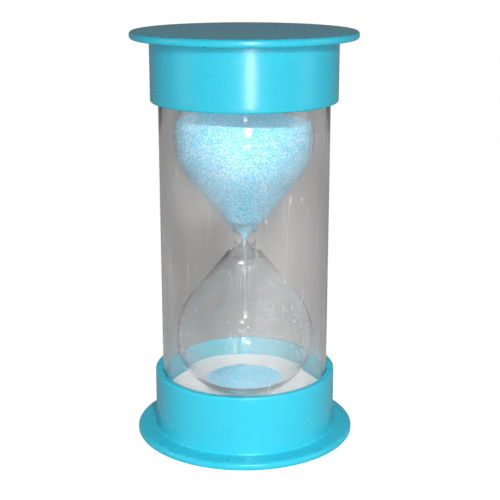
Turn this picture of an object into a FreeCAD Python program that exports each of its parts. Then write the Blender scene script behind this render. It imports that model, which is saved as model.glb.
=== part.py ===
import FreeCAD, Part
import math
import os
import Sketcher

# An hourglass in a clear tube.  Two moulded caps hold the tube between them.  Inside it a
# one-piece glass bulb with two chambers stands between two foam seats, and the sand runs
# through its waist.  The frame's origin is the centre of the base, +Z is up, millimetres.
# It is symmetrical about the waist, apart from the fill hole, its stopper and the sand.

SIZES = (
    # alias, value, what it is
    ("total_height", 160.0, "from the base to the top face"),
    ("tube_diameter", 65.8, "outside of the clear tube"),
    ("tube_wall", 2.0, "wall of the tube"),
    ("tube_fit", 0.1, "radial clearance of the tube in a cap's collar"),
    ("tube_edge", 0.3, "chamfer on the tube's ends"),
    ("collar_wall", 2.9, "wall of the collar that grips the tube"),
    ("collar_height", 23.5, "collar, measured from the disc"),
    ("flange_overhang", 7.4, "how far the disc stands out past the collar"),
    ("flange_thickness", 3.0, "disc at each end"),
    ("flange_edge", 1.25, "rounding of the disc's edge"),
    ("rim_rounding", 0.7, "edges of the collar's open end"),
    ("root_rounding", 0.6, "corner between disc and collar"),
    ("seat_fit", 0.2, "radial clearance of a seat in the tube"),
    ("seat_height", 16.2, "foam seat, from the disc to its face"),
    ("seat_hole", 9.0, "radius of the hole through a seat"),
    ("seat_rounding", 0.6, "outer edge of a seat"),
    ("cradle_depth", 2.7, "how far the end of the glass sinks into a seat"),
    ("cradle_fit", 0.05, "gap between a seat and the glass"),
    ("bulb_clearance", 3.5, "from the glass at its widest to the tube"),
    ("end_flattening", 4.1, "what a chamber's end is less deep by than its radius"),
    ("side_ease", 3.3, "what the arc at the side is smaller by than the end is deep"),
    ("shoulder_ease", 13.7, "what the arc to the cone is smaller by than the chamber is long"),
    ("waist_radius", 4.3, "outside of the glass at the waist"),
    ("waist_arc", 7.5, "outer arc at the waist"),
    ("side_wall", 1.1, "glass at the widest place"),
    ("end_wall", 1.6, "glass at the ends"),
    ("cone_taper", 0.7, "what the inner shoulder arc is smaller by, besides the wall"),
    ("throat_radius", 0.6, "hole that the sand runs through"),
    ("throat_arc", 4.5, "inner arc at the throat"),
    ("fill_hole", 3.5, "radius of the hole that the glass is filled through"),
    ("plug_head", 5.5, "radius of the stopper's head"),
    ("plug_head_height", 1.8, "stopper's head above the glass"),
    ("plug_depth", 4.5, "stopper's stem below its head"),
    ("plug_rounding", 0.4, "edges of the stopper"),
    ("sand_gap", 0.15, "between the sand's solids and the glass"),
    ("fill_rise", 4.6, "rim of the upper sand above the widest place"),
    ("fill_dip", 2.5, "hollow in the middle of the upper sand"),
    ("pile_rise", 4.5, "rim of the lower sand above the end of the glass"),
    ("pile_mound", 3.2, "peak of the lower sand above its rim"),
)

AXIS = -2                       # Sketcher's number for a sketch's vertical axis
START, END, CENTRE = 1, 2, 3    # Sketcher's numbers for the points of a line or an arc
LOWER, UPPER = -1, 1            # the two chambers, as seen from the waist


class Length:
    """A length in millimetres, with the expression that ties it to the sheet."""

    def __init__(self, value, text):
        self.value = value
        self.text = text

    def __add__(self, other):
        return Length(self.value + other.value, f"({self.text} + {other.text})")

    def __sub__(self, other):
        return Length(self.value - other.value, f"({self.text} - {other.text})")

    def __truediv__(self, number):
        return Length(self.value / number, f"({self.text} / {number})")


class Sizes:
    """The sheet's sizes by name, and the places that several pieces share."""

    def __init__(self, document):
        sheet = document.addObject("Spreadsheet::Sheet", "Sizes")
        for row, (alias, value, note) in enumerate(SIZES, start=1):
            sheet.set(f"A{row}", note)
            sheet.set(f"B{row}", str(value))
            sheet.setAlias(f"B{row}", alias)
        document.recompute()
        for alias, _, _ in SIZES:
            setattr(self, alias, Length(sheet.get(alias), f"Sizes.{alias}"))
        self.zero = Length(0.0, "0")
        self.neck = self.total_height / 2
        self.tube_radius = self.tube_diameter / 2
        self.tube_bore = self.tube_radius - self.tube_wall
        self.tube_top = self.total_height - self.flange_thickness
        self.collar_bore = self.tube_radius + self.tube_fit
        self.collar_radius = self.collar_bore + self.collar_wall
        self.collar_rim = self.flange_thickness + self.collar_height
        self.flange_radius = self.collar_radius + self.flange_overhang
        self.seat_radius = self.tube_bore - self.seat_fit
        self.seat_face = self.flange_thickness + self.seat_height
        self.glass_low = self.seat_face - self.cradle_depth
        self.glass_high = self.total_height - self.glass_low
        self.bulb_radius = self.tube_bore - self.bulb_clearance
        self.end_height = self.bulb_radius - self.end_flattening
        self.chamber_length = self.neck - self.glass_low - self.end_height
        self.side_arc = self.end_height - self.side_ease
        self.shoulder_arc = self.chamber_length - self.shoulder_ease


def make_body(document, name):
    """A body whose label is the name of its node."""
    body = document.addObject("PartDesign::Body", name)
    body.Label = name
    return body


def make_sketch(body, name):
    """A sketch on the body's own upright plane: across is the radius, up is the height."""
    sketch = body.newObject("Sketcher::SketchObject", name)
    plane = next(item for item in body.Origin.OriginFeatures if item.Role == "XZ_Plane")
    sketch.AttachmentSupport = [(plane, "")]
    sketch.MapMode = "FlatFace"
    return sketch


def tie(sketch, index, length):
    """Ties a constraint to the sheet."""
    sketch.setExpression(f"Constraints[{index}]", length.text)


def tie_point(sketch, geometry, point, across=None, up=None):
    """Ties a point's distances from the origin to the sheet."""
    for kind, length in (("DistanceX", across), ("DistanceY", up)):
        if length:
            constraint = Sketcher.Constraint(kind, -1, 1, geometry, point, length.value)
            tie(sketch, sketch.addConstraint(constraint), length)


def draw_outline(sketch, corners):
    """A closed outline of straight lines.  A corner's first length is None on the axis."""
    spots = [FreeCAD.Vector(across.value if across else 0, up.value, 0) for across, up in corners]
    for one, other in zip(spots, spots[1:] + spots[:1]):
        sketch.addGeometry(Part.LineSegment(one, other), False)
    for line, (across, up) in enumerate(corners):
        following = (line + 1) % len(corners)
        sketch.addConstraint(Sketcher.Constraint("Coincident", line, END, following, START))
        if not across:
            sketch.addConstraint(Sketcher.Constraint("PointOnObject", line, START, AXIS))
        tie_point(sketch, line, START, across, up)


def turn(body, sketch, kind="Revolution"):
    """Turns a sketch about the axis: a Revolution adds to the body and a Groove cuts it."""
    before = body.Shape.Volume if body.Tip else 0.0
    feature = body.newObject(f"PartDesign::{kind}", f"{sketch.Name}_{kind.lower()}")
    feature.Profile = sketch
    feature.ReferenceAxis = (sketch, ["V_Axis"])
    feature.Angle = 360.0
    body.Document.recompute()
    change = body.Shape.Volume - before
    if change == 0 or (change > 0) != (kind == "Revolution"):
        raise RuntimeError(f"{feature.Name} changed the volume of {body.Label} by {change:.3f}")


def finish_edges(body, kind, size_name, sizes, rings):
    """Fillets or chamfers round edges, each found by its radius and height."""
    names = []
    for index, edge in enumerate(body.Shape.Edges, start=1):
        if isinstance(edge.Curve, Part.Circle) and any(
                math.isclose(edge.Curve.Radius, radius.value, abs_tol=1e-4)
                and math.isclose(edge.Curve.Center.z, height.value, abs_tol=1e-4)
                for radius, height in rings):
            names.append(f"Edge{index}")
    if len(names) != len(rings):
        raise RuntimeError(f"{body.Label}: {len(names)} of {len(rings)} edges were found")
    base = body.Tip
    feature = body.newObject(f"PartDesign::{kind}", f"{body.Name}_{size_name}")
    feature.Base = (base, names)
    measure = "Radius" if kind == "Fillet" else "Size"
    feature.setExpression(measure, getattr(sizes, size_name).text)
    body.Document.recompute()


def stand_on_head(body, sizes):
    """Turns over a piece that is made as the base's, to serve at the top."""
    over = FreeCAD.Rotation(FreeCAD.Vector(1, 0, 0), 180)
    body.Placement = FreeCAD.Placement(FreeCAD.Vector(0, 0, sizes.total_height.value), over)
    body.setExpression("Placement.Base.z", sizes.total_height.text)


def draw_chamber(sketch, sizes, side, inside=False, offset=None):
    """Half the section of one chamber, from the end of the glass round to the waist.

    The line is the outside of the glass or its inside, moved away from the glass by offset.
    The end, the side and the shoulder are arcs, a straight line makes the cone, and one more
    arc turns it into the waist.
    """
    offset = offset or sizes.zero
    if inside:
        radius = sizes.bulb_radius - sizes.side_wall - offset
        side_arc = sizes.side_arc - sizes.side_wall - offset
        shoulder = sizes.shoulder_arc - sizes.side_wall - sizes.cone_taper - offset
        waist, hollow = sizes.throat_radius - offset, sizes.throat_arc + offset
        depth = sizes.end_height - sizes.end_wall - offset
    else:
        radius, side_arc = sizes.bulb_radius + offset, sizes.side_arc + offset
        shoulder = sizes.shoulder_arc + offset
        waist, hollow = sizes.waist_radius + offset, sizes.waist_arc - offset
        depth = sizes.end_height + offset
    length = sizes.chamber_length
    if side == UPPER:
        widest_level = sizes.neck + length
        end_level = widest_level + depth
    else:
        widest_level = sizes.neck - length
        end_level = widest_level - depth

    # The cone touches the shoulder's arc and the waist's arc.
    across = waist.value + hollow.value - radius.value + shoulder.value
    lean = math.acos((hollow.value + shoulder.value) / math.hypot(length.value, across))
    slope = math.atan2(length.value, across) - lean
    # The end's arc is centred on the axis and touches the side's arc.
    reach = radius.value - side_arc.value
    end_arc = (reach ** 2 + depth.value ** 2 - side_arc.value ** 2) / (depth - side_arc).value / 2
    tilt = math.atan2(reach, end_arc - depth.value)

    def spot(out, beyond):
        """A point by its radius, and its height from the widest place towards the end."""
        return FreeCAD.Vector(out, widest_level.value + side * beyond, 0)

    end, widest = spot(0, depth.value), spot(radius.value, 0)
    end_centre = spot(0, depth.value - end_arc)
    end_touch = end_centre + FreeCAD.Vector(math.sin(tilt), side * math.cos(tilt), 0) * end_arc
    shoulder_centre = spot(radius.value - shoulder.value, 0)
    towards_cone = FreeCAD.Vector(math.cos(slope), -side * math.sin(slope), 0)
    shoulder_touch = shoulder_centre + towards_cone * shoulder.value
    waist_spot, neck_spot = spot(waist.value, -length.value), spot(0, -length.value)
    hollow_centre = spot(waist.value + hollow.value, -length.value)
    hollow_touch = hollow_centre - towards_cone * hollow.value

    def add_line(one, other):
        return sketch.addGeometry(Part.LineSegment(one, other), False)

    def add_arc(centre, arc_radius, one, other):
        """The short arc between two points.  A sketch turns every arc anticlockwise."""
        first, last = (math.atan2(p.y - centre.y, p.x - centre.x) for p in (one, other))
        if (last - first) % math.tau > math.pi:
            first, last = last, first
        circle = Part.Circle(centre, FreeCAD.Vector(0, 0, 1), arc_radius)
        return sketch.addGeometry(Part.ArcOfCircle(circle, first, last), False)

    def at(geometry, point):
        """The number of the end of a line or an arc that is nearer to a point."""
        return min((START, END), key=lambda n: sketch.getPoint(geometry, n).distanceToPoint(point))

    end_curve = add_arc(end_centre, end_arc, end, end_touch)
    side_curve = add_arc(spot(reach, 0), side_arc.value, end_touch, widest)
    shoulder_curve = add_arc(shoulder_centre, shoulder.value, widest, shoulder_touch)
    cone = add_line(shoulder_touch, hollow_touch)
    waist_curve = add_arc(hollow_centre, hollow.value, hollow_touch, waist_spot)
    mouth = add_line(waist_spot, neck_spot)
    axis = add_line(neck_spot, end)
    for kind, one, other, point in (
            ("Tangent", end_curve, side_curve, end_touch),
            ("Tangent", side_curve, shoulder_curve, widest),
            ("Tangent", shoulder_curve, cone, shoulder_touch),
            ("Tangent", cone, waist_curve, hollow_touch),
            ("Coincident", waist_curve, mouth, waist_spot),
            ("Coincident", mouth, axis, neck_spot),
            ("Coincident", axis, end_curve, end)):
        sketch.addConstraint(
            Sketcher.Constraint(kind, one, at(one, point), other, at(other, point)))
    for constraint in (
            Sketcher.Constraint("PointOnObject", end_curve, CENTRE, AXIS),
            Sketcher.Constraint("PointOnObject", end_curve, at(end_curve, end), AXIS),
            Sketcher.Constraint("PointOnObject", mouth, END, AXIS),
            Sketcher.Constraint("Horizontal", mouth),
            Sketcher.Constraint("Horizontal", side_curve, CENTRE,
                                side_curve, at(side_curve, widest)),
            Sketcher.Constraint("Horizontal", waist_curve, CENTRE,
                                waist_curve, at(waist_curve, waist_spot))):
        sketch.addConstraint(constraint)
    for curve, arc in ((side_curve, side_arc), (shoulder_curve, shoulder), (waist_curve, hollow)):
        tie(sketch, sketch.addConstraint(Sketcher.Constraint("Radius", curve, arc.value)), arc)
    tie_point(sketch, side_curve, at(side_curve, widest), radius, widest_level)
    tie_point(sketch, waist_curve, at(waist_curve, waist_spot), waist, sizes.neck)
    tie_point(sketch, end_curve, at(end_curve, end), up=end_level)


def make_cap(document, sizes, name):
    """A disc and the ring that grips the tube, in one moulding."""
    body = make_body(document, name)
    edge, collar, bore = sizes.flange_radius, sizes.collar_radius, sizes.collar_bore
    floor, rim = sizes.flange_thickness, sizes.collar_rim
    sketch = make_sketch(body, f"{name}_section")
    draw_outline(sketch, [(None, sizes.zero), (edge, sizes.zero), (edge, floor), (collar, floor),
                          (collar, rim), (bore, rim), (bore, floor), (None, floor)])
    turn(body, sketch)
    finish_edges(body, "Fillet", "root_rounding", sizes, [(collar, floor)])
    finish_edges(body, "Fillet", "rim_rounding", sizes, [(collar, rim), (bore, rim)])
    finish_edges(body, "Fillet", "flange_edge", sizes, [(edge, sizes.zero), (edge, floor)])
    return body


def make_tube(document, sizes):
    """The clear guard tube, which stands on both discs inside their rings."""
    body = make_body(document, "outer_tube")
    corners = [(radius, level) for radius, level in (
        (sizes.tube_bore, sizes.flange_thickness), (sizes.tube_radius, sizes.flange_thickness),
        (sizes.tube_radius, sizes.tube_top), (sizes.tube_bore, sizes.tube_top))]
    sketch = make_sketch(body, "tube_section")
    draw_outline(sketch, corners)
    turn(body, sketch)
    finish_edges(body, "Chamfer", "tube_edge", sizes, corners)
    return body


def make_seat(document, sizes, name):
    """A thick foam ring that fills the tube's end and cradles the end of the glass."""
    body = make_body(document, name)
    sketch = make_sketch(body, f"{name}_section")
    draw_outline(sketch, [
        (sizes.seat_hole, sizes.flange_thickness), (sizes.seat_radius, sizes.flange_thickness),
        (sizes.seat_radius, sizes.seat_face), (sizes.seat_hole, sizes.seat_face)])
    turn(body, sketch)
    finish_edges(body, "Fillet", "seat_rounding", sizes, [(sizes.seat_radius, sizes.seat_face)])
    cradle = make_sketch(body, f"{name}_cradle")
    draw_chamber(cradle, sizes, LOWER, offset=sizes.cradle_fit)
    turn(body, cradle, "Groove")
    return body


def make_glass(document, sizes):
    """The blown bulb: both chambers, hollow, with the hole that it is filled through."""
    body = make_body(document, "glass_bulb")
    for inside, kind in ((False, "Revolution"), (True, "Groove")):
        for side in (LOWER, UPPER):
            place = f"{'lower' if side == LOWER else 'upper'}_{'inside' if inside else 'outside'}"
            sketch = make_sketch(body, place)
            draw_chamber(sketch, sizes, side, inside=inside)
            turn(body, sketch, kind)
    hole = make_sketch(body, "fill_hole_section")
    low = sizes.glass_high - sizes.end_wall - sizes.plug_depth
    high = sizes.glass_high + sizes.plug_head_height
    draw_outline(hole, [(None, low), (sizes.fill_hole, low), (sizes.fill_hole, high), (None, high)])
    turn(body, hole, "Groove")
    return body


def make_plug(document, sizes):
    """The rubber stopper in the fill hole, with its head outside the glass."""
    body = make_body(document, "fill_plug")
    head_base = sizes.glass_high
    head_top, tip = head_base + sizes.plug_head_height, head_base - sizes.plug_depth
    stem, head = sizes.fill_hole, sizes.plug_head
    sketch = make_sketch(body, "plug_section")
    draw_outline(sketch, [(None, tip), (stem, tip), (stem, head_base),
                          (head, head_base), (head, head_top), (None, head_top)])
    turn(body, sketch)
    finish_edges(body, "Fillet", "plug_rounding", sizes, [(stem, tip), (head, head_top)])
    return body


def make_upper_sand(document, sizes):
    """The sand that waits above the waist, with a shallow hollow in its face."""
    body = make_body(document, "upper_sand")
    filled = make_sketch(body, "upper_sand_filled")
    draw_chamber(filled, sizes, UPPER, inside=True, offset=sizes.sand_gap)
    turn(body, filled)
    rim, roof = sizes.neck + sizes.chamber_length + sizes.fill_rise, sizes.glass_high
    empty = make_sketch(body, "upper_sand_empty")
    draw_outline(empty, [(None, rim - sizes.fill_dip), (sizes.bulb_radius, rim),
                         (sizes.bulb_radius, roof), (None, roof)])
    turn(body, empty, "Groove")
    return body


def make_lower_sand(document, sizes):
    """The pile on the lower end, which peaks where the stream lands."""
    body = make_body(document, "lower_sand")
    filled = make_sketch(body, "lower_sand_filled")
    draw_chamber(filled, sizes, LOWER, inside=True, offset=sizes.sand_gap)
    turn(body, filled)
    rim, stream = sizes.glass_low + sizes.pile_rise, sizes.throat_radius - sizes.sand_gap
    peak = rim + sizes.pile_mound
    empty = make_sketch(body, "lower_sand_empty")
    draw_outline(empty, [(None, peak), (stream, peak), (sizes.bulb_radius, rim),
                         (sizes.bulb_radius, sizes.neck), (None, sizes.neck)])
    turn(body, empty, "Groove")
    return body


def make_stream(document, sizes):
    """The thread of falling sand, from the waist to the pile's peak."""
    body = make_body(document, "sand_stream")
    radius = sizes.throat_radius - sizes.sand_gap
    peak = sizes.glass_low + sizes.pile_rise + sizes.pile_mound
    sketch = make_sketch(body, "stream_section")
    draw_outline(sketch, [(None, peak), (radius, peak), (radius, sizes.neck), (None, sizes.neck)])
    turn(body, sketch)
    return body


def check(document, bodies):
    """Stops the script if anything in the document failed or a piece is not sound."""
    for item in document.Objects:
        if "Invalid" in item.State or "Error" in item.State:
            raise RuntimeError(f"{item.Label} is in state {item.State}")
    for body in bodies:
        shape = body.Shape
        if shape.isNull() or not shape.isValid() or len(shape.Solids) != 1:
            raise RuntimeError(f"{body.Label} is not one sound solid")


def main():
    document = FreeCAD.newDocument("Hourglass")
    sizes = Sizes(document)
    bodies = [
        make_cap(document, sizes, "bottom_cap"),
        make_cap(document, sizes, "top_cap"),
        make_tube(document, sizes),
        make_seat(document, sizes, "bottom_seat"),
        make_seat(document, sizes, "top_seat"),
        make_glass(document, sizes),
        make_plug(document, sizes),
        make_upper_sand(document, sizes),
        make_stream(document, sizes),
        make_lower_sand(document, sizes),
    ]
    for body in bodies:
        if body.Label.startswith("top_"):
            stand_on_head(body, sizes)
    document.recompute()
    check(document, bodies)
    os.makedirs("parts", exist_ok=True)
    for body in bodies:
        body.Shape.exportStep(f"parts/{body.Label}.step")
        print(f"{body.Label}: {body.Shape.Volume / 1000:.2f} cm3")


main()
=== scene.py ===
"""The looks of an hourglass in a clear tube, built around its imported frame.

Two turquoise caps hold a clear plastic tube.  A blown glass bulb stands in it between two
foam seats, with glitter sand half way through its run.  All sizes are in metres.
"""
import logging
import math
import random
from dataclasses import dataclass
from enum import Enum
from functools import cached_property
from typing import Any, Callable, Iterable, Sequence

import bpy
import bmesh
import numpy as np
from mathutils import Matrix, Vector, noise


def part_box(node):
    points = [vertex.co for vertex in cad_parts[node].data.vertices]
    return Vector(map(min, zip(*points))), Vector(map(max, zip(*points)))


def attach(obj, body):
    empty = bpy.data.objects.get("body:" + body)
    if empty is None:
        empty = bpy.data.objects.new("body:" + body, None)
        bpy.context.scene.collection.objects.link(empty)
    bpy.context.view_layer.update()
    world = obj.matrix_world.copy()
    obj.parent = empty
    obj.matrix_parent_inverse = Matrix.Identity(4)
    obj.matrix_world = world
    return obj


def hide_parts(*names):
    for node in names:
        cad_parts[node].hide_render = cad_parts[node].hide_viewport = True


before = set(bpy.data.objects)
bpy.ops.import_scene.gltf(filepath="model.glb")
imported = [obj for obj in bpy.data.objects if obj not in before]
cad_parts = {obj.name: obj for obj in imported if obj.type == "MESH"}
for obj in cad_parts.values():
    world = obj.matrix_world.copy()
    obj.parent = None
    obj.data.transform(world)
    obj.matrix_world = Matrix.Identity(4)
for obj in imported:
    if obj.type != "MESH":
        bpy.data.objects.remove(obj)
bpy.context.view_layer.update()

MM = 0.001
TINY = 1e-6                          # less than this counts as nothing
LOG = logging.getLogger("hourglass")

Point = tuple[float, float]          # a radius and a height, or any two measures
Triple = tuple[float, float, float]  # a place, a stretch or a colour
Tree = bpy.types.NodeTree
Piece = bpy.types.Object


# ---------------------------------------------------------------- shader maths

class Wire:
    """A socket of a node tree, with the operators that add Math nodes.

    Args:
        tree: The node tree that the socket is in.
        socket: An output socket.
    """

    def __init__(self, tree: Tree, socket: bpy.types.NodeSocket) -> None:
        self.tree = tree
        self.socket = socket

    def maths(self, operation: str, *others: "Wire | float", first: int = 0) -> "Wire":
        """Adds a Math node on this wire.

        Args:
            operation: The Math node's operation.
            others: The other values, in order.
            first: Which input this wire feeds, 0 or 1.

        Returns:
            The node's result.
        """
        node = self.tree.nodes.new("ShaderNodeMath")
        node.operation = operation
        values = list(others)
        values.insert(first, self)
        for socket, value in zip(node.inputs, values):
            plug(self.tree, socket, value)
        return Wire(self.tree, node.outputs[0])

    def __add__(self, other: "Wire | float") -> "Wire":
        """This wire plus another value."""
        return self.maths("ADD", other)

    def __mul__(self, other: "Wire | float") -> "Wire":
        """This wire times another value."""
        return self.maths("MULTIPLY", other)

    def __sub__(self, other: "Wire | float") -> "Wire":
        """This wire less another value."""
        return self.maths("SUBTRACT", other)

    def __rsub__(self, other: float) -> "Wire":
        """A number less this wire."""
        return self.maths("SUBTRACT", other, first=1)

    def band(self, low: float, high: float) -> "Wire":
        """A smooth step from 0 at low to 1 at high.

        Args:
            low: The value that gives 0.
            high: The value that gives 1.

        Returns:
            The step, between 0 and 1.
        """
        node = self.tree.nodes.new("ShaderNodeMapRange")
        node.interpolation_type = "SMOOTHSTEP"
        for socket, value in zip(node.inputs, (self, low, high, 0.0, 1.0)):
            plug(self.tree, socket, value)
        return Wire(self.tree, node.outputs[0])


def plug(tree: Tree, socket: bpy.types.NodeSocket, value: Any) -> None:
    """Feeds a socket with a wire, or sets it to a plain value.

    Args:
        tree: The node tree.
        socket: The input to feed.
        value: A wire, a number, a colour or a vector.
    """
    if isinstance(value, Wire):
        tree.links.new(value.socket, socket)
    elif isinstance(value, (tuple, list)) and len(value) == 3 and socket.type == "RGBA":
        socket.default_value = (*value, 1.0)
    else:
        socket.default_value = value


def add_node(tree: Tree, kind: str, output: str = "",
             settings: dict[str, Any] | None = None, **values: Any) -> Wire:
    """Adds any node.

    Args:
        tree: The node tree.
        kind: The node's type, without its ShaderNode prefix.
        output: The name of the output to give back, or the first one.
        settings: The node's own settings, which are set first.
        values: Its inputs by name, with _ for a space, as wires or plain values.

    Returns:
        The chosen output.
    """
    node = tree.nodes.new(f"ShaderNode{kind}")
    for key, value in (settings or {}).items():
        setattr(node, key, value)
    for key, value in values.items():
        name = key.replace("_", " ")
        plug(tree, next(s for s in node.inputs if s.name == name and s.enabled), value)
    return Wire(tree, node.outputs[output] if output else node.outputs[0])


@dataclass(frozen=True)
class Finish:
    """A procedural finish.  Each kind says in paint() how its nodes go.

    Args:
        name: The material's name.
        colour: Its main colour, linear.
    """

    name: str
    colour: Triple

    def build(self) -> bpy.types.Material:
        """Makes the material, once for each finish.

        Returns:
            The material.
        """
        made = bpy.data.materials.get(self.name)
        if made is None:
            made = bpy.data.materials.new(self.name)
            made.use_nodes = True
            made.node_tree.nodes.clear()
            tree = made.node_tree
            surface = self.paint(tree)
            out = tree.nodes.new("ShaderNodeOutputMaterial")
            plug(tree, out.inputs["Surface"], surface)
        return made

    def paint(self, tree: Tree) -> Wire:
        """The finish's shader.  Each kind of finish has its own."""
        raise NotImplementedError

    def tone(self, share: float, lift: float = 0.0) -> Triple:
        """Its colour times a share, with a lift, and no brighter than white."""
        return tuple(min(1.0, share * c + lift) for c in self.colour)

    def place(self, tree: Tree, stretch: Triple = (1.0, 1.0, 1.0)) -> Wire:
        """Object coordinates in metres, stretched along the axes."""
        where = add_node(tree, "TexCoord", "Object")
        return add_node(tree, "Mapping", Vector=where, Scale=stretch)

    def grain(self, tree: Tree, scale: float, detail: float = 2.0,
              stretch: Triple = (1.0, 1.0, 1.0)) -> Wire:
        """Noise from 0 to 1 over the piece.

        Args:
            tree: The node tree.
            scale: Cells to the metre.
            detail: Octaves of finer noise.
            stretch: How much finer it is along each axis.

        Returns:
            The noise, about 0.5.
        """
        where = self.place(tree, stretch)
        return add_node(tree, "TexNoise", "Fac", Vector=where, Scale=scale, Detail=detail,
                        Roughness=0.55)

    def blend(self, tree: Tree, share: Wire | float, one: Any, other: Any) -> Wire:
        """A mix of two colours.

        Args:
            tree: The node tree.
            share: How much of the other colour.
            one: The first colour.
            other: The other colour.

        Returns:
            The colour.
        """
        node = tree.nodes.new("ShaderNodeMix")
        node.data_type = "RGBA"
        plug(tree, node.inputs[0], share)
        plug(tree, node.inputs[6], one)
        plug(tree, node.inputs[7], other)
        return Wire(tree, node.outputs[2])

    def scratches(self, tree: Tree, scale: float, lean: float, rarity: float) -> Wire:
        """Fine scratches, as a mask from 0 to 1.

        Args:
            tree: The node tree.
            scale: Cells to the metre.
            lean: The scratches' turn about the upright, in radians.
            rarity: From 0 to 1, how few there are.

        Returns:
            The mask.
        """
        where = add_node(tree, "TexCoord", "Object")
        leaning = add_node(tree, "Mapping", Vector=where, Rotation=(lean, 0.6 * lean, lean),
                           Scale=(1.0, 1.0, 0.04))
        lines = add_node(tree, "TexNoise", "Fac", Vector=leaning, Scale=scale, Detail=1.0,
                         Distortion=0.4)
        patches = self.grain(tree, 55.0, 2.0)
        thin = 1.0 - (lines - 0.5).maths("ABSOLUTE").band(0.0, 0.006)
        return thin * patches.band(0.35 + 0.3 * rarity, 0.6 + 0.3 * rarity)

    def relief(self, tree: Tree, height: Wire, depth: float, strength: float) -> Wire:
        """A Bump node.

        Args:
            tree: The node tree.
            height: The height, from 0 to 1.
            depth: What 1 stands for, in metres.
            strength: The share of it that shows.

        Returns:
            The normal.
        """
        return add_node(tree, "Bump", Height=height, Distance=depth, Strength=strength)


def shader(tree: Tree, base: Any, roughness: Any, normal: Wire | None = None,
           **more: Any) -> Wire:
    """A Principled shader.

    Args:
        tree: The node tree.
        base: Its base colour, a wire or three numbers.
        roughness: Its roughness, a wire or a number.
        normal: Its normal, from a Bump node.
        more: Other inputs by name, with _ for a space, as plain values.

    Returns:
        The shader.
    """
    if normal:
        more["Normal"] = normal
    return add_node(tree, "BsdfPrincipled", Base_Color=base, Roughness=roughness, **more)


def mix_shaders(tree: Tree, share: Wire | float, one: Wire, other: Wire) -> Wire:
    """A Mix Shader of two shaders, with that share of the other."""
    node = tree.nodes.new("ShaderNodeMixShader")
    for socket, value in zip(node.inputs, (share, one, other)):
        plug(tree, socket, value)
    return Wire(tree, node.outputs[0])


def let_lamps_in(tree: Tree, glass: Wire, tint: Triple) -> Wire:
    """Clear material that lamps shine through, tinted for their light.

    Args:
        tree: The node tree.
        glass: The clear shader.
        tint: What one wall leaves of the light.

    Returns:
        The shader.
    """
    shadow = add_node(tree, "LightPath", "Is Shadow Ray")
    return mix_shaders(tree, shadow, glass, add_node(tree, "BsdfTransparent", Color=tint))


# ---------------------------------------------------------------- finishes

@dataclass(frozen=True)
class MouldedPlastic(Finish):
    """Glossy injection-moulded plastic: a faint orange peel, pigment swirls and dust."""

    gloss: float = 0.25                  # its roughness where it is cleanest
    speck_colour: Triple = (0.25, 0.80, 0.92)
    dust_colour: Triple = (0.70, 0.92, 0.95)
    peel_depth: float = 0.05 * MM

    def paint(self, tree: Tree) -> Wire:
        """The shader of the moulding."""
        swirl = self.grain(tree, 26.0, 3.0).band(0.2, 0.8)
        speck = self.grain(tree, 1500.0).band(0.55, 0.8)
        dust = self.grain(tree, 480.0).band(0.74, 0.80)
        smears = self.grain(tree, 70.0, 3.0)
        peel = self.grain(tree, 480.0, 1.0)
        base = self.blend(tree, swirl, self.tone(0.97), self.tone(1.03, 0.004))
        base = self.blend(tree, speck * 0.08, base, self.speck_colour)
        base = self.blend(tree, dust * 0.5, base, self.dust_colour)
        rough = smears * 0.05 + dust * 0.2 + self.gloss
        normal = self.relief(tree, peel + dust * 0.4, self.peel_depth, 0.3)
        return shader(tree, base, rough, normal, IOR=1.52, Specular_IOR_Level=0.5)


@dataclass(frozen=True)
class ClearPlastic(Finish):
    """Clear plastic with drawn streaks, scuffs, haze, and a hazier patch at its front that is a
    painted reflection.
    """

    haze_colour: Triple = (0.80, 0.79, 0.79)
    wave_depth: float = 0.10 * MM
    # Where the painted reflection's patch sits, how it is stretched, and its core and reach.
    reflection_patch_shift: Triple = (-0.020, 0.027, -0.043)  # puts the patch's middle at the origin
    reflection_patch_stretch: Triple = (1.0, 1.0, 0.55)
    reflection_patch_core: float = 2.0 * MM
    reflection_patch_reach: float = 26.0 * MM

    def paint(self, tree: Tree) -> Wire:
        """The shader of the tube."""
        cloud = self.grain(tree, 34.0, 3.0, (1.0, 1.0, 0.55))
        streak = self.grain(tree, 300.0, 2.0, (1.0, 1.0, 0.02))
        wave = self.grain(tree, 90.0, 1.0, (1.0, 1.0, 0.08))
        base = self.blend(tree, cloud.band(0.28, 0.72), self.tone(0.93), self.tone(1.03))
        base = self.blend(tree, streak.band(0.5, 0.85) * 0.30, base, (0.95, 0.95, 0.95))
        normal = self.relief(tree, wave, self.wave_depth, 0.5)
        clear = shader(tree, base, 0.02, normal, IOR=1.49, Transmission_Weight=1.0)
        scuffs = self.scratches(tree, 150.0, 0.5, 0.15)
        dust = self.grain(tree, 900.0).band(0.66, 0.8)
        # The patch adds painted reflection to the film: more haze where a reflection falls on the
        # tube's front.
        film = (scuffs * 0.36 + dust * 0.08 + cloud.band(0.45, 0.72) * 0.09
                + self.painted_reflection_patch(tree, cloud) * 0.16 + 0.010)
        haze = shader(tree, self.haze_colour, 0.55, normal, Specular_IOR_Level=0.4)
        return let_lamps_in(tree, mix_shaders(tree, film, clear, haze), self.colour)

    def painted_reflection_patch(self, tree: Tree, cloud: Wire) -> Wire:
        """A painted reflection at the tube's front: a hazier patch, broken up by a noise, as a
        mask.
        """
        spot = add_node(tree, "Mapping", Vector=add_node(tree, "TexCoord", "Object"),
                        Location=self.reflection_patch_shift, Scale=self.reflection_patch_stretch)
        away = add_node(tree, "VectorMath", "Value", {"operation": "LENGTH"}, Vector=spot)
        return (1.0 - away.band(self.reflection_patch_core, self.reflection_patch_reach)) * (cloud * 0.6 + 0.5)


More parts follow.
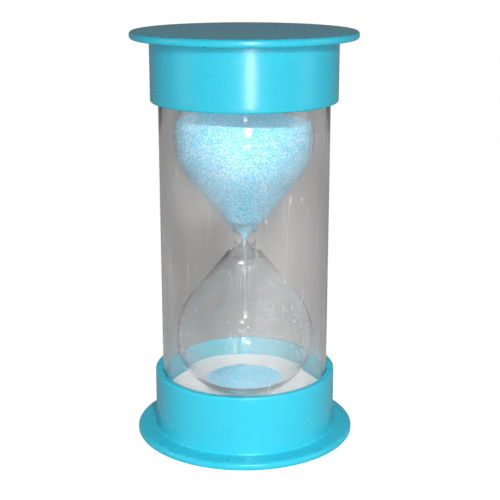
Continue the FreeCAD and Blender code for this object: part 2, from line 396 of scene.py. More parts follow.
@dataclass(frozen=True)
class BlownGlass(Finish):
    """Clear blown glass with faint waves, a thin film and a trace of sand dust."""

    haze_colour: Triple = (0.86, 0.92, 0.95)
    film: float = 0.022
    wave_depth: float = 0.12 * MM

    def paint(self, tree: Tree) -> Wire:
        """The shader of the bulb."""
        wave = self.grain(tree, 60.0)
        dust = self.grain(tree, 2300.0).band(0.70, 0.78)
        patch = self.grain(tree, 48.0).band(0.45, 0.75)
        normal = self.relief(tree, wave, self.wave_depth, 0.4)
        clear = shader(tree, self.colour, 0.0, normal, IOR=1.5, Transmission_Weight=1.0)
        haze = shader(tree, self.haze_colour, 0.5)
        glass = mix_shaders(tree, dust * patch * 0.4 + self.film, clear, haze)
        return let_lamps_in(tree, glass, self.colour)


@dataclass(frozen=True)
class SoftFoam(Finish):
    """White closed-cell foam, with painted shade in its cells."""

    cell_count: float = 1300.0           # to the metre
    cell_depth: float = 0.12 * MM
    cell_shade_colour: Triple = (0.50, 0.52, 0.54)

    def paint(self, tree: Tree) -> Wire:
        """The shader of the seats."""
        where = self.place(tree)
        cells = add_node(tree, "TexVoronoi", "Distance", Vector=where, Scale=self.cell_count)
        shade = self.grain(tree, 120.0, 3.0)
        base = self.blend(tree, shade.band(0.3, 0.75), self.colour, self.tone(0.86))
        # Painted shade of the foam's cells: grey where the cell distance is high.
        base = self.blend(tree, cells.band(0.45, 0.75) * 0.18, base, self.cell_shade_colour)
        normal = self.relief(tree, cells, self.cell_depth, 0.6)
        return shader(tree, base, cells * 0.1 + 0.78, normal)


@dataclass(frozen=True)
class Rubber(Finish):
    """Pale moulded rubber, dusted with fine grit."""

    grit_count: float = 1400.0           # to the metre
    grit_depth: float = 0.06 * MM

    def paint(self, tree: Tree) -> Wire:
        """The shader of the stopper."""
        grit = self.grain(tree, self.grit_count, 3.0)
        stain = self.grain(tree, 160.0)
        base = self.blend(tree, stain.band(0.35, 0.7), self.colour, self.tone(0.72))
        normal = self.relief(tree, grit, self.grit_depth, 0.6)
        return shader(tree, base, grit * 0.15 + 0.62, normal)


@dataclass(frozen=True)
class GlitterSand(Finish):
    """Dyed sand with white glitter, painted white also as highlight for glints, and painted shade
    between the grains: every grain has its own colour, lean and gloss.
    """

    deep: Triple = (0.05, 0.42, 0.69)    # the darkest grains
    grain_gap_shade_colour: Triple = (0.05, 0.35, 0.60)
    glitter_glint_colour: Triple = (0.97, 1.0, 1.0)
    grain_size: float = 0.31 * MM
    grain_depth: float = 0.30 * MM
    # Grains past this share are painted white: glitter, and painted highlight for glints.
    sparkle: float = 0.83                # the share of grains that aren't glitter

    def paint(self, tree: Tree) -> Wire:
        """The shader of the sand."""
        where = self.place(tree)
        cell = {"Vector": where, "Scale": 1.0 / self.grain_size, "Randomness": 1.0}
        hue = add_node(tree, "TexVoronoi", "Color", **cell)
        gap = add_node(tree, "TexVoronoi", "Distance", **cell)
        tone = add_node(tree, "SeparateColor", "Red", Color=hue)
        shine, gloss = (Wire(tree, tone.socket.node.outputs[n]) for n in ("Green", "Blue"))
        patch = self.grain(tree, 210.0, 3.0).band(0.35, 0.75)
        # Grains painted white: partly real glitter, partly painted highlight for their glints.
        glitter = shine.band(self.sparkle - 0.02, self.sparkle + 0.02)
        base = self.blend(tree, tone.band(0.10, 0.75), self.deep, self.colour)
        base = self.blend(tree, glitter * 0.9, base, self.glitter_glint_colour)
        base = self.blend(tree, patch * 0.15, base, self.deep)
        # Painted shade between the grains.
        base = self.blend(tree, gap.band(0.45, 0.9) * 0.25, base, self.grain_gap_shade_colour)
        rough = 0.65 - gloss.band(0.80, 0.86) * 0.50
        normal = self.relief(tree, (1.0 - gap) * 0.7 + tone * 0.5, self.grain_depth, 0.9)
        return shader(tree, base, rough, normal, IOR=1.5, Specular_IOR_Level=0.6)


@dataclass(frozen=True)
class StudioFloor(Finish):
    """A pale table that glows, more where it is seen directly than through or in a piece."""

    glow: float = 0.22
    glow_seen: float = 0.93

    def paint(self, tree: Tree) -> Wire:
        """The shader of the floor."""
        matte = shader(tree, self.colour, 0.9, Specular_IOR_Level=0.0,
                       Emission_Color=(1.0, 1.0, 1.0, 1.0))
        seen = add_node(tree, "LightPath", "Is Camera Ray")
        plug(tree, matte.socket.node.inputs["Emission Strength"],
             seen * (self.glow_seen - self.glow) + self.glow)
        return matte


class Finishes(Enum):
    """The finishes of this hourglass."""

    CAP = MouldedPlastic("turquoise_cap_plastic", (0.024, 0.44, 0.58))
    TUBE = ClearPlastic("clear_tube_plastic", (0.95, 0.94, 0.935))
    GLASS = BlownGlass("blown_bulb_glass", (0.965, 0.98, 0.98))
    FOAM = SoftFoam("white_seat_foam", (0.92, 0.93, 0.94))
    RUBBER = Rubber("stopper_rubber", (0.62, 0.59, 0.53))
    SAND = GlitterSand("blue_glitter_sand", (0.28, 0.83, 1.0))
    # Near white, partly as white glitter and partly as painted highlight for the glints of the
    # clinging and falling grains.
    GLITTER = GlitterSand("glitter_and_glint_grains", (0.96, 1.0, 1.0), deep=(0.72, 0.92, 1.0),
                          grain_size=0.6 * MM, sparkle=0.3)
    FLOOR = StudioFloor("studio_floor", (0.35, 0.35, 0.35))


# ---------------------------------------------------------------- modelling by hand

def clear_selection() -> None:
    """Leaves edit mode, with nothing selected."""
    if bpy.context.object and bpy.context.object.mode != "OBJECT":
        bpy.ops.object.mode_set(mode="OBJECT")
    bpy.ops.object.select_all(action="DESELECT")


def start_edit(name: str, radius: float, height: float, vertices: int) -> Piece:
    """Adds a ring and opens it in edit mode, with nothing else selected.

    Args:
        name: The new piece's name.
        radius: The ring's radius.
        height: The ring's height.
        vertices: Its steps.

    Returns:
        The object.
    """
    clear_selection()
    bpy.ops.mesh.primitive_circle_add(vertices=vertices, radius=radius, location=(0, 0, 0))
    piece = bpy.context.object
    piece.name = piece.data.name = name
    bpy.ops.object.mode_set(mode="EDIT")
    bpy.ops.mesh.select_mode(type="VERT")
    bpy.ops.mesh.select_all(action="SELECT")
    bpy.ops.transform.translate(value=(0, 0, height))
    return piece


def arc(centre: Point, radius: float, first: float, last: float, steps: int) -> list[Point]:
    """Points along an arc of a section.

    Args:
        centre: Its centre's radius and height.
        radius: The arc's own radius.
        first: Its first angle in degrees, 0 outwards and 90 up.
        last: Its last angle.
        steps: How many points, both ends among them.

    Returns:
        The points.
    """
    turns = (math.radians(first + (last - first) * i / (steps - 1)) for i in range(steps))
    return [(centre[0] + radius * math.cos(t), centre[1] + radius * math.sin(t)) for t in turns]


def turned(name: str, outline: Sequence[Point], vertices: int) -> Piece:
    """A turned piece: a ring is extruded from point to point of a section and closed.

    A section that begins and ends on the axis is closed there by its poles.  Any other is
    bridged from its last ring to its first.

    Args:
        name: The piece's name.
        outline: The section's radii and heights, in order.
        vertices: Steps round the piece.

    Returns:
        The piece, with its normals outwards.
    """
    open_ends = outline[0][0] > TINY
    rings = [p for p in outline if p[0] > TINY]
    piece = start_edit(name, rings[0][0], rings[0][1], vertices)
    for (old_radius, old_height), (new_radius, new_height) in zip(rings, rings[1:]):
        grow = new_radius / old_radius
        bpy.ops.mesh.extrude_edges_move(
            TRANSFORM_OT_translate={"value": (0, 0, new_height - old_height)})
        bpy.ops.transform.resize(value=(grow, grow, 1), center_override=(0, 0, new_height))
    if open_ends:
        bpy.ops.mesh.select_all(action="DESELECT")
        bpy.ops.mesh.select_non_manifold()
        bpy.ops.mesh.bridge_edge_loops()
    else:
        for end in (outline[-1], outline[0]):
            close_pole(piece, rings[-1] if end is outline[-1] else rings[0], end[1])
    bpy.ops.mesh.select_all(action="SELECT")
    bpy.ops.mesh.remove_doubles(threshold=1e-7)
    bpy.ops.mesh.normals_make_consistent(inside=False)
    bpy.ops.object.mode_set(mode="OBJECT")
    return piece


def close_pole(piece: Piece, ring: Point, height: float) -> None:
    """Closes an open end with a fan of faces that meet on the axis.

    Args:
        piece: The piece, in edit mode.
        ring: The end ring's radius and height.
        height: The height of the pole.
    """
    mesh = bmesh.from_edit_mesh(piece.data)
    for vert in mesh.verts:
        vert.select = (abs(vert.co.z - ring[1]) < TINY
                       and abs(vert.co.xy.length - ring[0]) < TINY
                       and any(edge.is_boundary for edge in vert.link_edges))
    mesh.select_flush_mode()
    bmesh.update_edit_mesh(piece.data)
    bpy.ops.mesh.extrude_edges_move(TRANSFORM_OT_translate={"value": (0, 0, height - ring[1])})
    bpy.ops.mesh.merge(type="CENTER")


def finish_piece(piece: Piece, finish: Finishes,
                 replaced: Sequence[str] = (), smooth_under: float = 40.0) -> None:
    """Smooths and dresses a piece, and ties it to the frame.

    Args:
        piece: The piece.
        finish: Its finish.
        replaced: The frame's nodes that it stands for.
        smooth_under: Edges that turn by fewer degrees are smooth.
    """
    select_only(piece)
    bpy.ops.object.shade_smooth_by_angle(angle=math.radians(smooth_under))
    piece.data.materials.clear()
    piece.data.materials.append(finish.value.build())
    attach(piece, "root")
    if replaced:
        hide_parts(*replaced)
    LOG.info("%s: %d faces", piece.name, len(piece.data.polygons))


def select_only(piece: Piece) -> None:
    """Makes a piece the only selected and the active one."""
    clear_selection()
    piece.select_set(True)
    bpy.context.view_layer.objects.active = piece


def bevel_sharp(piece: Piece, width: float, segments: int, over: float = 50.0) -> None:
    """Rounds a piece's sharp edges with a Bevel modifier, and applies it.

    Args:
        piece: The piece.
        width: The bevel's width.
        segments: Its steps.
        over: Edges that turn by more degrees are sharp.
    """
    select_only(piece)
    bevel = piece.modifiers.new("edges", "BEVEL")
    bevel.width, bevel.segments = width, segments
    bevel.limit_method, bevel.angle_limit = "ANGLE", math.radians(over)
    bpy.ops.object.modifier_apply(modifier=bevel.name)


def reshape(piece: Piece, move: Callable[[Vector], Vector]) -> None:
    """Moves each vertex of a piece to where a rule says.

    Args:
        piece: The piece.
        move: Gives a vertex's new place from its old one.
    """
    for vert in piece.data.vertices:
        vert.co = move(vert.co.copy())
    piece.data.update()


# ---------------------------------------------------------------- the glass's shape

@dataclass(frozen=True)
class BulbShape:
    """The section of the bulb, worked out from the node's box and a few arcs.

    Args:
        radius: Outside at the widest place.
        low: The lower end's height.
        high: The upper end's height.
    """

    radius: float
    low: float
    high: float
    end_flattening: float = 4.1 * MM
    side_ease: float = 3.3 * MM
    shoulder_ease: float = 13.7 * MM
    waist_radius: float = 4.3 * MM
    waist_arc: float = 7.5 * MM
    side_wall: float = 0.9 * MM
    end_wall: float = 1.6 * MM
    cone_wall: float = 0.7 * MM
    throat_radius: float = 0.6 * MM
    flare_height: float = 7.5 * MM
    flare_power: float = 2.3

    @property
    def waist(self) -> float:
        """The waist's height."""
        return (self.low + self.high) / 2

    @property
    def end_height(self) -> float:
        """From the widest place to the end."""
        return self.radius - self.end_flattening

    @property
    def chamber(self) -> float:
        """From the waist to the widest place."""
        return self.waist - self.low - self.end_height

    def cone(self) -> tuple[float, float]:
        """The outer cone that touches the shoulder's arc and the waist's arc.

        Returns:
            Its lean from the axis, and its radius carried on to the waist's plane.
        """
        shoulder = self.chamber - self.shoulder_ease
        across = self.waist_radius + self.waist_arc - self.radius + shoulder
        lean = math.atan2(self.chamber, across) - math.acos(
            (self.waist_arc + shoulder) / math.hypot(self.chamber, across))
        foot = (self.waist_radius + self.waist_arc) - self.waist_arc / math.cos(lean)
        return lean, foot

    def end_arcs(self, wall_side: float, wall_end: float) -> list[Point]:
        """The end from the axis to the widest place.  Heights are from the widest place."""
        radius, depth = self.radius - wall_side, self.end_height - wall_end
        side = self.end_height - self.side_ease - wall_side
        reach = radius - side
        end = (reach ** 2 + depth ** 2 - side ** 2) / (2 * (depth - side))
        tilt = math.degrees(math.atan2(reach, end - depth))
        points = arc((0.0, depth - end), end, 90.0, 90.0 - tilt, 26)
        return points + arc((reach, 0.0), side, 90.0 - tilt, 0.0, 22)[1:]

    def outside(self) -> list[Point]:
        """Half the outside, from the end to the waist.

        Returns:
            Radii, and heights from the waist outwards.
        """
        lean, _ = self.cone()
        turn = math.degrees(lean)
        shoulder = self.chamber - self.shoulder_ease
        points = [(r, self.chamber + z) for r, z in self.end_arcs(0.0, 0.0)]
        points += arc((self.radius - shoulder, self.chamber), shoulder, 0.0, -turn, 22)[1:]
        points += arc((self.waist_radius + self.waist_arc, 0.0), self.waist_arc,
                      180.0 - turn, 180.0, 14)
        return points

    def inside(self) -> list[Point]:
        """Half the inside, from the end to the waist, where the wall thickens to a throat.

        Returns:
            Radii, and heights from the waist outwards.
        """
        lean, foot = self.cone()
        foot -= self.cone_wall / math.cos(lean)
        radius = self.radius - self.side_wall
        points = [(r, self.chamber + z) for r, z in self.end_arcs(self.side_wall, self.end_wall)]
        # The arc that leaves the side upright and touches the inner cone.
        gap = foot + self.chamber * math.tan(lean) - radius
        shoulder = gap * math.cos(lean) / (1.0 - math.cos(lean))
        turn = math.degrees(lean)
        points += arc((radius - shoulder, self.chamber), shoulder, 0.0, -turn, 22)[1:]
        ring = foot + self.flare_height * math.tan(lean)
        steps = 22
        for i in range(steps + 1):
            share = 1.0 - i / steps
            width = (ring - self.throat_radius) * share ** self.flare_power
            points.append((self.throat_radius + width, self.flare_height * share))
        return points

    @cached_property
    def inner_profile(self) -> np.ndarray:
        """Radii and heights of half the inside, from the waist outwards."""
        return np.array(sorted(self.inside(), key=lambda point: point[1])).T

    def inner_radius(self, height: float) -> float:
        """The inside's radius at a height of the frame."""
        radii, rises = self.inner_profile
        return float(np.interp(abs(height - self.waist), rises, radii))


# ---------------------------------------------------------------- sub-assemblies

@dataclass
class Caps:
    """The two mouldings.  Each is a disc with a collar."""

    collar_wall: float = 2.9 * MM
    flange_thickness: float = 3.0 * MM
    flange_edge: float = 1.25 * MM
    rim_round: float = 0.75 * MM
    root_round: float = 0.7 * MM
    tube_play: float = 0.1 * MM
    corner: float = 0.3 * MM
    steps: int = 192

    def section(self, node: str) -> list[Point]:
        """A cap's section, from the axis inside round to the axis outside.

        Args:
            node: The frame's node that gives its size.

        Returns:
            Radii, and heights from the disc's outer face.
        """
        low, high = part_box(node)
        edge, height = high.x, high.z - low.z
        _, tube_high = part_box("outer_tube")
        bore = tube_high.x + self.tube_play
        collar = bore + self.collar_wall
        disc, r, f = self.flange_thickness, self.rim_round, self.flange_edge
        points = [(0.0, disc), (bore * 0.5, disc), (bore - self.corner, disc),
                  (bore, disc + self.corner)]
        points += [(bore, disc + share * (height - disc)) for share in (0.3, 0.6, 0.9)]
        points += arc((bore + r, height - r), r, 180.0, 90.0, 6)
        points += arc((collar - r, height - r), r, 90.0, 0.0, 6)
        points += [(collar, disc + share * (height - disc)) for share in (0.9, 0.6, 0.3)]
        root = self.root_round
        points += arc((collar + root, disc + root), root, 180.0, 270.0, 6)
        points += [(collar + share * (edge - collar), disc) for share in (0.35, 0.6)]
        points += arc((edge - f, disc - f), f, 90.0, 0.0, 7)
        points += arc((edge - f, f), f, 0.0, -90.0, 7)
        points += [(edge * 0.75, 0.0), (edge * 0.4, 0.0), (0.0, 0.0)]
        return points

    def build(self) -> None:
        """Makes both caps."""
        for node, name in (("bottom_cap", "base_cap_moulding"), ("top_cap", "head_cap_moulding")):
            low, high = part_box(node)
            flip = node == "top_cap"
            section = [(r, high.z - z if flip else low.z + z) for r, z in self.section(node)]
            cap = turned(name, section, self.steps)
            finish_piece(cap, Finishes.CAP, (node,))


@dataclass
class Tube:
    """The clear guard tube."""

    wall: float = 2.0 * MM
    lip: float = 0.35 * MM
    steps: int = 192

    def build(self) -> None:
        """Makes the tube, with its ends rounded where they were cut."""
        low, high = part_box("outer_tube")
        outer, inner = high.x, high.x - self.wall
        levels = [low.z + share * (high.z - low.z) for share in (0.25, 0.5, 0.75)]
        section = [(inner, low.z), (outer, low.z), *((outer, z) for z in levels),
                   (outer, high.z), (inner, high.z), *((inner, z) for z in reversed(levels))]
        tube = turned("guard_tube", section, self.steps)
        bevel_sharp(tube, self.lip, 3)
        finish_piece(tube, Finishes.TUBE, ("outer_tube",))


@dataclass
class Bulb:
    """The glass, its stopper and the seats that hold it."""

    shape: BulbShape
    fill_hole: float = 3.5 * MM
    waver: float = 0.10 * MM
    waver_cells: float = 45.0            # to the metre
    steps: int = 176
    seat_hole: float = 9.0 * MM
    cradle_fit: float = 0.05 * MM
    seat_round: float = 0.6 * MM
    seat_steps: int = 128
    ribs: int = 4                        # round the stopper's stem
    rib_pitch: float = 0.9 * MM
    stopper_steps: int = 64

    def build(self) -> None:
        """Makes the glass, the seats and the stopper."""
        self.build_glass()
        self.build_seat("bottom_seat", "lower_foam_seat", -1)
        self.build_seat("top_seat", "upper_foam_seat", 1)
        self.build_plug()

    def build_glass(self) -> None:
        """Makes the wall of both chambers as one skin, open at the fill hole."""
        shape, waist = self.shape, self.shape.waist
        outside, inside = shape.outside(), shape.inside()
        lower_out = [(r, waist - z) for r, z in outside]
        upper_out = [(r, waist + z) for r, z in reversed(outside)]
        upper_in = [(r, waist + z) for r, z in inside]
        lower_in = [(r, waist - z) for r, z in reversed(inside)]
        upper_out = [p for p in upper_out if p[0] > self.fill_hole or p[1] < waist]
        upper_in = [p for p in upper_in if p[0] > self.fill_hole or p[1] < waist + shape.chamber]
        hole = [(self.fill_hole, shape.high - 0.2 * MM),
                (self.fill_hole, shape.high - shape.end_wall - 0.2 * MM)]
        section = lower_out + upper_out[1:] + hole + upper_in + lower_in[1:]
        glass = turned("two_chamber_bulb", section, self.steps)

        def waver(spot: Vector) -> Vector:
            """Pushes the wall in and out a little, as blown glass is."""
            drift = noise.noise(Vector((spot.x, spot.y, spot.z * 0.7)) * self.waver_cells)
            ease = min(1.0, abs(spot.z - waist) / (12 * MM))
            ease *= min(1.0, max(0.0, (shape.high - spot.z) / (6 * MM)))
            out = Vector((spot.x, spot.y, 0.0))
            return spot + out.normalized() * drift * self.waver * ease if out.length else spot

        reshape(glass, waver)
        finish_piece(glass, Finishes.GLASS, ("glass_bulb",), 60.0)

    def build_seat(self, node: str, name: str, side: int) -> None:
        """Makes a foam ring, dished where the glass sinks into it.

        Args:
            node: The frame's node.
            name: The piece's name.
            side: 1 at the top, -1 at the bottom.
        """
        low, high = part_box(node)
        face, back = (high.z, low.z) if side < 0 else (low.z, high.z)
        r = self.seat_round
        edge = [(high.x - r + r * math.sin(math.radians(a)), face + side * (r - r * math.cos(
            math.radians(a)))) for a in range(0, 91, 15)]
        dish = []
        for radius, rise in reversed(self.shape.end_arcs(-self.cradle_fit, -self.cradle_fit)):
            height = self.shape.waist + side * (self.shape.chamber + rise)
            if radius > self.seat_hole and side * (height - face) > 0:
                dish.append((radius, height))
        section = [(high.x, back), *reversed(edge), (high.x * 0.8, face), (high.x * 0.6, face),
                   *dish, (self.seat_hole, dish[-1][1] + side * 0.4 * MM), (self.seat_hole, back)]
        seat = turned(name, section, self.seat_steps)
        finish_piece(seat, Finishes.FOAM, (node,), 50.0)

    def build_plug(self) -> None:
        """Makes the stopper, with a ribbed stem and a flat head, chamfered at its edge and dished
        in its middle.
        """
        low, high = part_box("fill_plug")
        head, stem = high.x, self.fill_hole
        base = self.shape.high
        ribs = []
        for i in range(self.ribs):
            at = low.z + 0.4 * MM + i * self.rib_pitch
            ribs += [(stem - 0.25 * MM, at), (stem - 0.02 * MM, at + 0.45 * MM)]
        section = [(0.0, low.z), (stem - 0.6 * MM, low.z), *ribs, (stem - 0.05 * MM, base),
                   (head, base), (head, high.z - 0.5 * MM), (head - 0.5 * MM, high.z),
                   (head * 0.45, high.z), (head * 0.4, high.z - 0.3 * MM),
                   (0.0, high.z - 0.3 * MM)]
        stopper = turned("fill_stopper", section, self.stopper_steps)
        finish_piece(stopper, Finishes.RUBBER, ("fill_plug",))


@dataclass
class Sand:
    """The sand above, the thread between and the pile below, with their loose grains."""

    shape: BulbShape
    gap: float = 0.03 * MM               # from the glass, on average
    gap_lean: float = 0.07 * MM          # more of it on the right, less on the left
    gap_rough: float = 0.08 * MM
    pressed_height: float = 19.0 * MM    # this near the waist it all presses on the glass
    press: float = 0.05 * MM             # and by so much
    skin: float = 0.4 * MM               # what is this near the glass follows it
    core: float = 0.3 * MM               # the least radius of a body of sand
    ease_depth: float = 7.0 * MM         # how far under its face the sand above leans
    grain: float = 0.22 * MM
    fill_rise: float = 5.0 * MM          # rim of the upper sand above the widest place
    fill_lean: Point = (-0.030, -0.070)  # how its face falls to the right and to the back
    fill_dip: float = 1.3 * MM
    pile_rise: float = 5.7 * MM
    pile_lean: Point = (0.0, -0.050)
    pile_mound: float = 2.2 * MM
    steps: int = 150
    face_rings: int = 26
    clinging: int = 420                  # grains on the lower chamber's glass
    cluster_share: float = 0.65          # of them, in clusters at these turns
    cluster_turns: tuple[int, ...] = (-31, -31, -155, 70)
    cluster_rise: Point = (25.0, 7.0)    # millimetres over the bulb's end, and their scatter
    clinging_swell: float = 1.15
    falling: int = 105                   # grains in the thread
    loose_above: int = 6800
    loose_below: int = 3000
    seed: int = 7

    def build(self) -> None:
        """Makes the three bodies of sand and the loose grains."""
        rng = random.Random(self.seed)
        self.build_body("sand_above", "upper_sand", 1)
        self.build_body("sand_below", "lower_sand", -1)
        self.build_stream(rng)
        # The grains on the glass are near white: glitter and painted glints.
        self.scatter("grains_on_glass", list(self.glass_spots(rng)), rng, Finishes.GLITTER,
                     swell=self.clinging_swell)
        for name, count, side in (("grains_above", self.loose_above, 1),
                                  ("grains_below", self.loose_below, -1)):
            spots = list(self.face_spots(rng, count, side))
            self.scatter(name, spots, rng, Finishes.SAND)

    def clearance(self, spot: Vector) -> float:
        """How far the sand stays from the glass there: below nothing, it presses on it."""
        rise = (abs(spot.z - self.shape.waist) - self.pressed_height) / self.pressed_height
        loose = min(1.0, max(0.0, rise * 2.0))
        lean = self.gap_lean * spot.x / self.shape.radius
        rough = noise.noise(spot * 1100.0) * self.gap_rough
        return (self.gap + lean + rough) * loose - self.press * (1.0 - loose)

    def rim(self, side: int) -> float:
        """The height where a body of sand meets the glass, before it leans."""
        if side > 0:
            return self.shape.waist + self.shape.chamber + self.fill_rise
        return self.shape.low + self.pile_rise

    def fine_wall(self) -> list[Point]:
        """The inside's section, with points no more than a step apart."""
        step = 1.3 * MM
        points = self.shape.inside()
        fine = [points[0]]
        for (r1, z1), (r2, z2) in zip(points, points[1:]):
            parts = max(1, math.ceil(math.hypot(r2 - r1, z2 - z1) / step))
            fine += [(r1 + (r2 - r1) * i / parts, z1 + (z2 - z1) * i / parts)
                     for i in range(1, parts + 1)]
        return fine

    def face(self, x: float, y: float, side: int) -> float:
        """The height of a body of sand's open face.

        Args:
            x: Across.
            y: Back.
            side: 1 for the sand above, -1 for the pile.

        Returns:
            The height in the frame.
        """
        radius = math.hypot(x, y)
        rough = noise.noise(Vector((x, y, side * 0.1)) * 260.0) * 0.28 * MM
        rough += noise.noise(Vector((x, y, side * 0.3)) * 900.0) * 0.12 * MM
        rim = self.rim(side)
        wide = self.shape.inner_radius(rim)
        if side > 0:
            dip = self.fill_dip * max(0.0, 1.0 - (radius / wide) ** 2)
            return rim + self.fill_lean[0] * x + self.fill_lean[1] * y - dip + rough
        mound = self.pile_mound * max(0.0, 1.0 - (radius / wide) ** 1.25)
        return rim + self.pile_lean[1] * y + mound + rough

    def build_body(self, name: str, node: str, side: int) -> None:
        """Makes a body of sand that fills the glass up to its open face.

        Args:
            name: The piece's name.
            node: The frame's node.
            side: 1 above the waist, -1 below.
        """
        shape, waist = self.shape, self.shape.waist
        rim = self.rim(side)
        wall = [(r, waist + side * z) for r, z in self.fine_wall()]
        if side > 0:
            section = [p for p in reversed(wall) if p[1] < rim]
            section = [(0.0, section[0][1]), *section]
        else:
            section = [p for p in wall if p[1] < rim]
        edge = shape.inner_radius(rim)
        section.append((edge, rim))
        rings = self.face_rings
        section += [(edge * (1 - i / rings), rim) for i in range(1, rings + 1)]
        body = turned(name, section, self.steps)
        bpy.ops.object.mode_set(mode="EDIT")
        bpy.ops.mesh.select_all(action="SELECT")
        bpy.ops.mesh.subdivide(number_cuts=1)
        bpy.ops.object.mode_set(mode="OBJECT")

        def settle(spot: Vector) -> Vector:
            """Lifts the open face to its height and keeps the edge inside the glass."""
            top = self.face(spot.x, spot.y, side)
            if spot.z > rim - TINY:
                spot.z = top
            elif spot.z > rim - self.ease_depth and side > 0:
                share = (spot.z - rim + self.ease_depth) / self.ease_depth
                spot.z += (top - rim) * share
            spot.z = min(spot.z, top)
            limit = max(shape.inner_radius(spot.z) - self.clearance(spot), self.core)
            flat = math.hypot(spot.x, spot.y)
            if flat > limit - self.skin and flat > self.core:
                spot.x, spot.y = spot.x * limit / flat, spot.y * limit / flat
            return spot

        reshape(body, settle)
        finish_piece(body, Finishes.SAND, (node,), 60.0)

    def build_stream(self, rng: random.Random) -> None:
        """Makes the thread of falling grains, which spreads and thins as it falls."""
        low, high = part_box("sand_stream")
        spots = []
        for i in range(self.falling):
            fall = ((i + rng.random() * 1.6) / (self.falling + 1)) ** 1.5
            height = high.z - fall * (high.z - low.z)
            spread = (0.12 + 0.30 * fall) * MM
            spots.append(Vector((rng.gauss(0.0, spread), rng.gauss(0.0, spread), height)))
        # The falling grains are near white: glitter and painted glints.
        self.scatter("falling_grains", spots, rng, Finishes.GLITTER, ("sand_stream",))

    def glass_spots(self, rng: random.Random) -> Iterable[Vector]:
        """Yields the places where grains cling to the inside of the lower chamber."""
        for _ in range(self.clinging):
            if rng.random() < self.cluster_share:
                turn = math.radians(rng.choice(self.cluster_turns) + rng.gauss(0.0, 14.0))
                height = self.shape.low + rng.gauss(*self.cluster_rise) * MM
            else:
                turn = rng.uniform(0.0, math.tau)
                height = self.shape.low + rng.uniform(6.0, 52.0) * MM
            radius = self.shape.inner_radius(height) - 0.18 * MM
            if radius > 2 * MM:
                yield Vector((radius * math.cos(turn), radius * math.sin(turn), height))

    def face_spots(self, rng: random.Random, count: int, side: int) -> Iterable[Vector]:
        """Places of loose grains on an open face of the sand.

        Args:
            rng: The random numbers.
            count: How many.
            side: 1 for the sand above, -1 for the pile.

        Yields:
            Each place.
        """
        for _ in range(count):
            reach = self.shape.inner_radius(self.rim(side)) - 0.1 * MM
            radius, turn = reach * math.sqrt(rng.random()), rng.uniform(0.0, math.tau)
            x, y = radius * math.cos(turn), radius * math.sin(turn)
            height = self.face(x, y, side)
            if radius < self.shape.inner_radius(height) - 0.3 * MM:
                yield Vector((x, y, height + 0.05 * MM))

    def scatter(self, name: str, spots: Sequence[Vector], rng: random.Random,
                finish: Finishes, replaced: Sequence[str] = (), swell: float = 1.0) -> None:
        """Copies one many-sided grain to every place.

        Args:
            name: The piece's name.
            spots: Where the grains go.
            rng: The random numbers for their sizes and turns.
            finish: Their finish.
            replaced: The frame's nodes that they stand for.
            swell: How much larger than usual they are.
        """
        clear_selection()
        bpy.ops.mesh.primitive_ico_sphere_add(subdivisions=1, radius=self.grain)
        model = bpy.context.object
        bpy.ops.object.mode_set(mode="EDIT")
        bpy.ops.mesh.select_all(action="SELECT")
        bpy.ops.transform.resize(value=(1.0, 0.8, 0.7), center_override=(0, 0, 0))
        bpy.ops.transform.vertex_random(offset=self.grain * 0.25, seed=self.seed)
        bpy.ops.object.mode_set(mode="OBJECT")
        grains = bmesh.new()
        for spot in spots:
            turn = Matrix.Rotation(rng.uniform(0, math.tau), 4, Vector((
                rng.gauss(0, 1), rng.gauss(0, 1), rng.gauss(0, 1))).normalized())
            copy = model.data.copy()
            size = Matrix.Scale(swell * rng.uniform(0.6, 1.15), 4)
            copy.transform(Matrix.Translation(spot) @ turn @ size)
            grains.from_mesh(copy)
            bpy.data.meshes.remove(copy)
        grains.to_mesh(model.data)
        grains.free()
        model.name = model.data.name = name
        finish_piece(model, finish, replaced, 20.0)


# ---------------------------------------------------------------- studio

SMALL_LAMP = 0.1                     # the side that a lamp seen through glass stays under
MIDDLE = (0.0, 0.0, 0.08)
CAP_PIECES = ("base_cap_moulding", "head_cap_moulding")
SAND_PIECES = ("sand_above", "sand_below", "grains_above", "grains_below", "falling_grains")


@dataclass(frozen=True)
class Lamp:
    """An area lamp."""

    name: str
    place: Triple
    aim: Triple
    size: Point
    power: float                         # in watts
    mirrored: bool = False               # glossy pieces show it, and clear ones if it is small
    only: tuple[str, ...] = ()           # the pieces that it is for, or none for all

    def build(self) -> None:
        """Adds the lamp, which the camera doesn't see."""
        lamp = bpy.data.lights.new(self.name, "AREA")
        lamp.shape = "RECTANGLE"
        lamp.size, lamp.size_y = self.size
        lamp.energy = self.power
        holder = bpy.data.objects.new(self.name, lamp)
        holder.location = self.place
        way = Vector(self.aim) - Vector(self.place)
        holder.rotation_euler = way.to_track_quat("-Z", "Y").to_euler()
        holder.visible_camera = False
        holder.visible_glossy = self.mirrored
        # A large lamp behind the hourglass would be seen through it.
        holder.visible_transmission = self.mirrored and max(self.size) < SMALL_LAMP
        bpy.context.scene.collection.objects.link(holder)

    def tie(self) -> None:
        """Ties the lamp to the pieces that it is for, once they are made."""
        if self.only:
            group = bpy.data.collections.new(f"{self.name}_pieces")
            for name in self.only:
                group.objects.link(bpy.data.objects[name])
            linking = bpy.data.objects[self.name].light_linking
            linking.receiver_collection = linking.blocker_collection = group


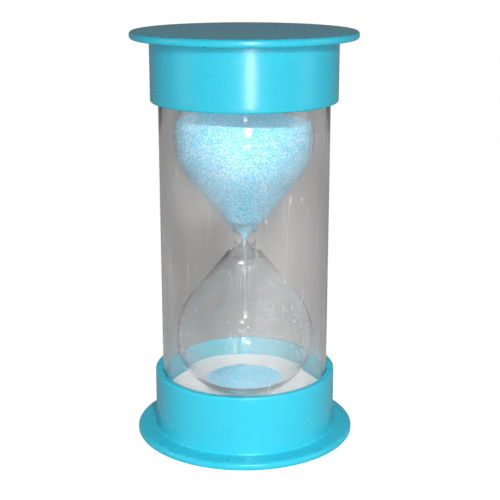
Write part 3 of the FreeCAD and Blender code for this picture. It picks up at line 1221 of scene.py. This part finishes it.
LAMPS = (
    Lamp("front_softbox", (0.04, -1.15, 0.33), MIDDLE, (0.5, 0.4), 6.6),
    Lamp("flash", (0.052, -0.44, 0.295), (0.0, 0.0, 0.10), (0.028, 0.022), 0.95, True),
    Lamp("strip", (0.053, -0.44, 0.105), (0.0, 0.0, 0.12), (0.018, 0.060), 0.45, True,
         CAP_PIECES),
    Lamp("base_lamp", (0.0, -0.60, 0.62), (0.0, 0.0, 0.02), (0.05, 0.05), 3.4,
         only=("base_cap_moulding", "lower_foam_seat")),
    Lamp("sand_lamp", (0.0, -0.35, 0.90), MIDDLE, (0.06, 0.06), 4.6, only=SAND_PIECES),
    Lamp("cone_lamp", (0.02, -0.90, 0.05), MIDDLE, (0.06, 0.06), 1.8, only=SAND_PIECES),
    Lamp("low_glint", (0.036, -0.44, 0.082), (0.0, 0.0, 0.12), (0.050, 0.015), 0.35, True,
         ("two_chamber_bulb", "guard_tube")),
    Lamp("high_glint", (0.02, -0.55, 0.66), (0.0, 0.0, 0.05), (0.07, 0.07), 1.3, True,
         ("two_chamber_bulb",)),
    Lamp("left_fill", (-0.95, -0.25, 0.25), MIDDLE, (0.4, 0.6), 0.9, True),
    Lamp("right_fill", (0.95, -0.20, 0.25), MIDDLE, (0.4, 0.6), 0.9, True),
    Lamp("back_fill", (0.6, 6.0, 1.5), MIDDLE, (2.5, 1.5), 60.0),
)


@dataclass(frozen=True)
class Studio:
    """The floor, the lamps, the room and the camera."""

    floor_size: float = 80.0
    room_glow: float = 0.27              # level with the floor
    room_fall: float = 0.16              # the light lost overhead
    room_seen: float = 0.78              # the light added where the room is seen directly
    room_colour: Triple = (0.97, 0.97, 1.0)
    lens: float = 83.4                   # in millimetres
    camera_place: Triple = (0.0, -0.4414, 0.1932)
    camera_dip: float = 15.057           # in degrees, and so is its turn
    camera_turn: float = -0.277

    def build(self) -> None:
        """Sets the studio up."""
        self.build_floor()
        for lamp in LAMPS:
            lamp.build()
        self.build_room()
        self.build_camera()

    def build_floor(self) -> None:
        """A wide pale floor."""
        bpy.ops.object.select_all(action="DESELECT")
        bpy.ops.mesh.primitive_plane_add(size=self.floor_size, location=(0, 0, 0))
        floor = bpy.context.object
        floor.name = "studio_floor"
        floor.data.materials.append(Finishes.FLOOR.value.build())

    def build_room(self) -> None:
        """A dim room, paler at its foot and brighter where it is seen directly."""
        world = bpy.data.worlds.new("room")
        world.use_nodes = True
        tree = world.node_tree
        tree.nodes.clear()
        where = add_node(tree, "TexCoord", "Generated")
        height = add_node(tree, "SeparateXYZ", "Z", Vector=where)
        seen = add_node(tree, "LightPath", "Is Camera Ray")
        glow = self.room_glow - height.band(0.0, 0.45) * self.room_fall + seen * self.room_seen
        room = add_node(tree, "Background", Color=self.room_colour, Strength=glow)
        out = tree.nodes.new("ShaderNodeOutputWorld")
        plug(tree, out.inputs["Surface"], room)
        bpy.context.scene.world = world

    def build_camera(self) -> None:
        """The camera, a little above the hourglass and aimed down at it."""
        data = bpy.data.cameras.new("camera")
        data.lens, data.sensor_width = self.lens, 36.0
        data.clip_start, data.clip_end = 0.01, 200.0
        camera = bpy.data.objects.new("camera", data)
        camera.location = self.camera_place
        camera.rotation_euler = (math.radians(90.0 - self.camera_dip), 0.0,
                                 math.radians(self.camera_turn))
        bpy.context.scene.collection.objects.link(camera)
        bpy.context.scene.camera = camera


def main() -> None:
    """Builds the hourglass and its studio."""
    logging.basicConfig(level=logging.INFO, format="%(name)s: %(message)s")
    bpy.context.scene.view_settings.view_transform = "Standard"
    low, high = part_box("glass_bulb")
    shape = BulbShape(high.x, low.z, high.z)
    Studio().build()
    Caps().build()
    Tube().build()
    Bulb(shape).build()
    Sand(shape).build()
    for lamp in LAMPS:
        lamp.tie()


if __name__ == "__main__":
    main()
